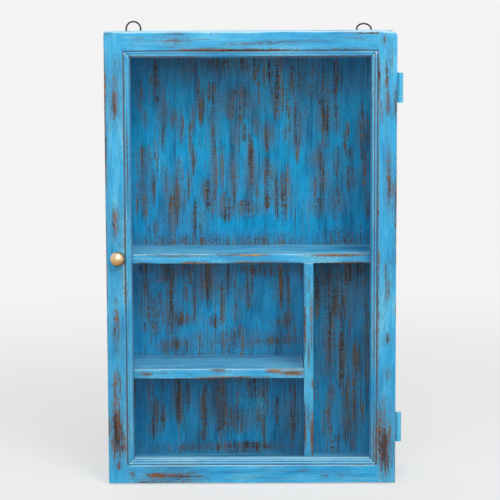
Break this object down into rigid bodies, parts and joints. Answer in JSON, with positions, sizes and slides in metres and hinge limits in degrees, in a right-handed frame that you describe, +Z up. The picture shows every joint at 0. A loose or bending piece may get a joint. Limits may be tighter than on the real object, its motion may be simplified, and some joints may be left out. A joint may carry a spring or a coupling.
{
  "type": "glazed display case",
  "caption": "Wall display case of painted, distressed wood with a hinged glass door, a ball knob, shelves, a divider and two hanging rings.",
  "frame": {"origin": "middle of the case's underside, at mid depth of the case body", "axes": "+X to the right seen from the front, +Y towards the back panel, +Z up; the door faces -Y"},
  "size_m": [0.297, 0.1319, 0.4673],
  "materials": {
    "painted_wood": "blue paint rubbed back to brown wood, satin",
    "painted_panel": "thin brushed blue paint over stained plywood",
    "nail_steel": "bright wire nail, filled over",
    "dark_steel": "blackened wire and strip",
    "plated_steel": "zinc plated",
    "painted_hinge": "painted over with the case",
    "catch_plastic": "moulded",
    "ferrite": "ground",
    "glass": "clear float glass",
    "brass": "satin, tarnished"
  },
  "bodies": {
    "case": {"left_side": "painted_wood", "right_side": "painted_wood", "top_board": "painted_wood", "bottom_board": "painted_wood", "back_panel": "painted_panel", "long_shelf": "painted_wood", "short_shelf": "painted_wood", "divider": "painted_wood", "case_nails": "nail_steel", "shelf_nails": "nail_steel", "back_panel_pins": "nail_steel", "left_hanger_strap": "dark_steel", "right_hanger_strap": "dark_steel", "hanger_screws": "plated_steel", "catch_body": "catch_plastic", "catch_magnet": "ferrite", "catch_screws": "plated_steel", "upper_hinge_case_leaf": "painted_hinge", "lower_hinge_case_leaf": "painted_hinge", "upper_hinge_pin": "plated_steel", "lower_hinge_pin": "plated_steel", "case_hinge_screws": "painted_hinge"},
    "door": {"door_left_stile": "painted_wood", "door_right_stile": "painted_wood", "door_top_rail": "painted_wood", "door_bottom_rail": "painted_wood", "glass_pane": "glass", "left_glazing_stop": "painted_wood", "right_glazing_stop": "painted_wood", "top_glazing_stop": "painted_wood", "bottom_glazing_stop": "painted_wood", "glazing_pins": "nail_steel", "knob": "brass", "knob_screw": "plated_steel", "upper_hinge_door_leaf": "painted_hinge", "lower_hinge_door_leaf": "painted_hinge", "door_hinge_screws": "painted_hinge", "strike_plate": "plated_steel", "strike_screw": "plated_steel"},
    "left_ring": {"left_hanger_ring": "dark_steel"},
    "right_ring": {"right_hanger_ring": "dark_steel"}
  },
  "joints": [
    {"name": "door_hinge", "type": "hinge", "parent": "case", "child": "door", "pos_m": [0.1489, -0.0443, 0.228], "axis": [0, 0, 1], "range_deg": [0, 180]},
    {"name": "left_ring_swing", "type": "hinge", "parent": "case", "child": "left_ring", "pos_m": [-0.122, 0.04598, 0.455], "axis": [-1, 0, 0], "range_deg": [0, 175]},
    {"name": "right_ring_swing", "type": "hinge", "parent": "case", "child": "right_ring", "pos_m": [0.118, 0.04598, 0.455], "axis": [-1, 0, 0], "range_deg": [-42, 133]}
  ]
}
